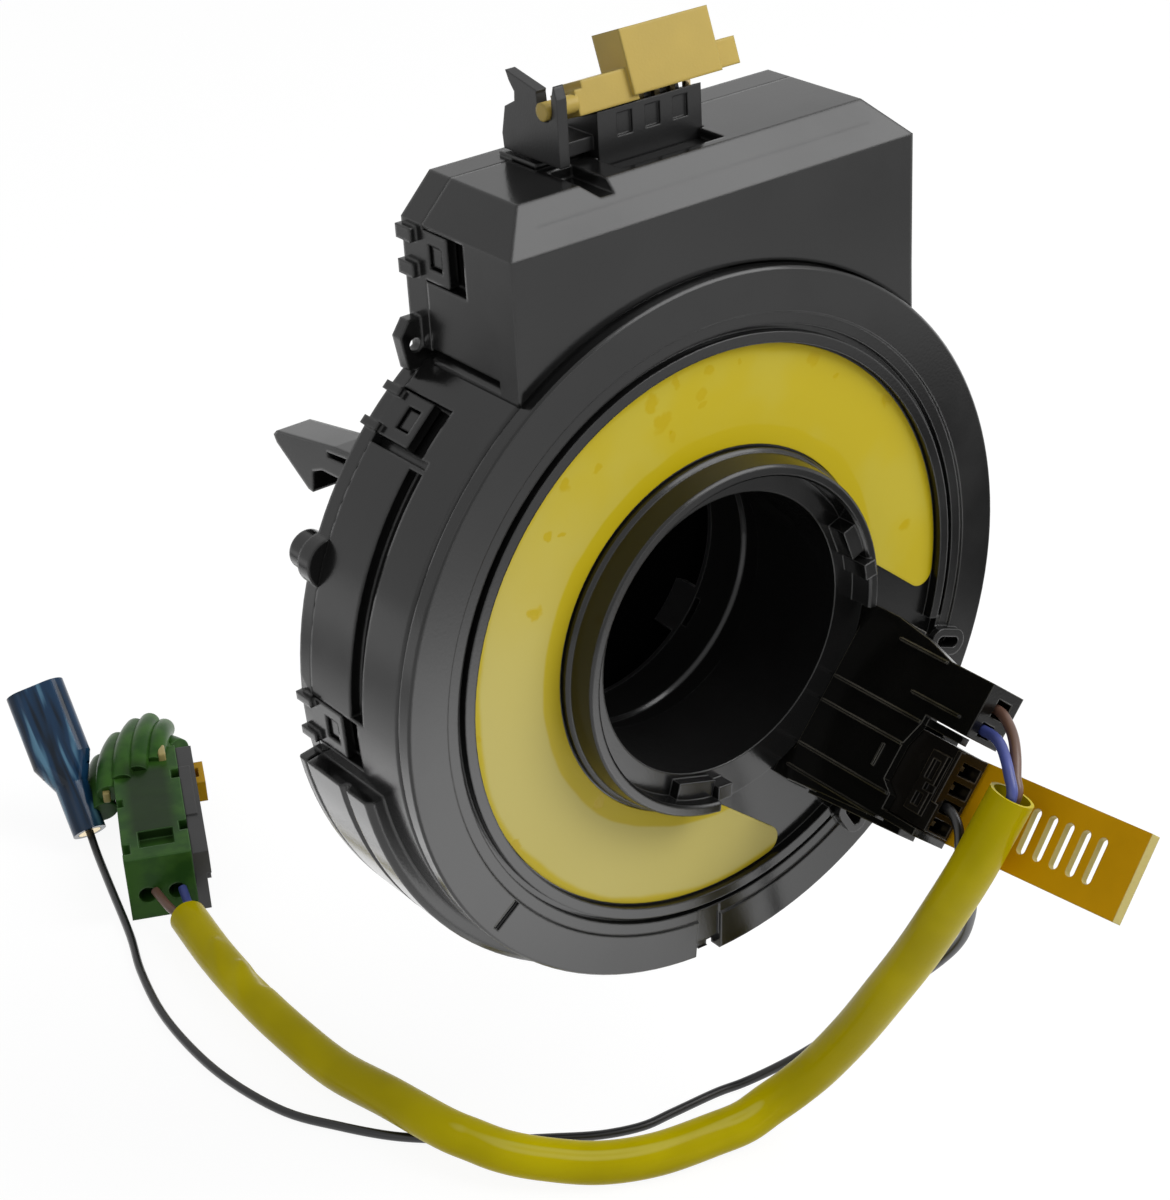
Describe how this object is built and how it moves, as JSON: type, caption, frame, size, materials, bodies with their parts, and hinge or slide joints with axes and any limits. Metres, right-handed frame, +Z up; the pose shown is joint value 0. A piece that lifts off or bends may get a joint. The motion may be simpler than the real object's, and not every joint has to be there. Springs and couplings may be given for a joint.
{
  "type": "steering clock spring",
  "caption": "Round steering clock spring with a turning ring round an open hub, a tower with its column connector, a hub plug with a lock strip, and a sleeved airbag and horn lead.",
  "frame": {"origin": "on the steering axis, in the front face of the turning ring", "axes": "+X to the right and +Z up as the driver sees it with the tower on top, +Y back along the steering column"},
  "size_m": [0.1045, 0.2091, 0.1634],
  "materials": {
    "case_plastic": "gloss black moulded plastic",
    "cover_plastic": "half gloss black moulded plastic",
    "socket_plastic": "satin black moulded plastic",
    "ring_plastic": "gloss black moulded plastic",
    "retainer_plastic": "satin black moulded plastic",
    "plug_plastic": "half gloss black moulded plastic",
    "cream_plastic": "satin cream moulded plastic",
    "amber_plastic": "satin amber moulded plastic",
    "block_plastic": "satin natural moulded plastic",
    "contact_metal": "bright stamped metal",
    "ribbon": "half gloss laminated film",
    "slip_sheet": "smooth film",
    "label_film": "yellow film with darker blotches",
    "brown_insulation": "half gloss wire insulation",
    "blue_insulation": "half gloss wire insulation",
    "black_insulation": "half gloss wire insulation",
    "yellow_sleeve": "glossy soft sleeve",
    "green_plastic": "half gloss green moulded plastic",
    "side_cover_plastic": "satin black moulded plastic",
    "blue_clear_plastic": "smoky clear blue plastic"
  },
  "bodies": {
    "case": {"stator_case": "case_plastic", "tower_case": "case_plastic", "rear_cover": "cover_plastic", "column_socket": "socket_plastic", "column_connector": "cream_plastic", "column_contacts": "contact_metal", "fixed_block": "block_plastic", "flat_cable": "ribbon", "rear_slip_sheet": "slip_sheet"},
    "ring": {"rotor": "ring_plastic", "plug_housing": "ring_plastic", "caution_label": "label_film", "ring_plug": "plug_plastic", "ring_plug_contacts": "contact_metal", "moving_block": "block_plastic", "rear_retainer": "retainer_plastic", "front_slip_sheet": "slip_sheet", "brown_wire": "brown_insulation", "blue_wire": "blue_insulation", "black_wire": "black_insulation", "cable_sleeve": "yellow_sleeve", "airbag_connector": "green_plastic", "airbag_side_cover": "side_cover_plastic", "airbag_contacts": "contact_metal", "horn_terminal": "contact_metal", "horn_insulator": "blue_clear_plastic"},
    "lock_strip": {"transport_lock": "amber_plastic"},
    "plug_lock": {"airbag_lock": "amber_plastic"}
  },
  "joints": [
    {"name": "ring_spin", "type": "hinge", "parent": "case", "child": "ring", "pos_m": [0, 0, 0], "axis": [0, 1, 0], "range_deg": [-900, 900]},
    {"name": "lock_pull", "type": "slide", "parent": "ring", "child": "lock_strip", "axis": [0.0504, -0.9969, 0.0601], "range_m": [0, 0.03]},
    {"name": "plug_lock_press", "type": "slide", "parent": "ring", "child": "plug_lock", "axis": [-0.9063, 0.4226, 0], "range_m": [0, 0.0015]}
  ]
}
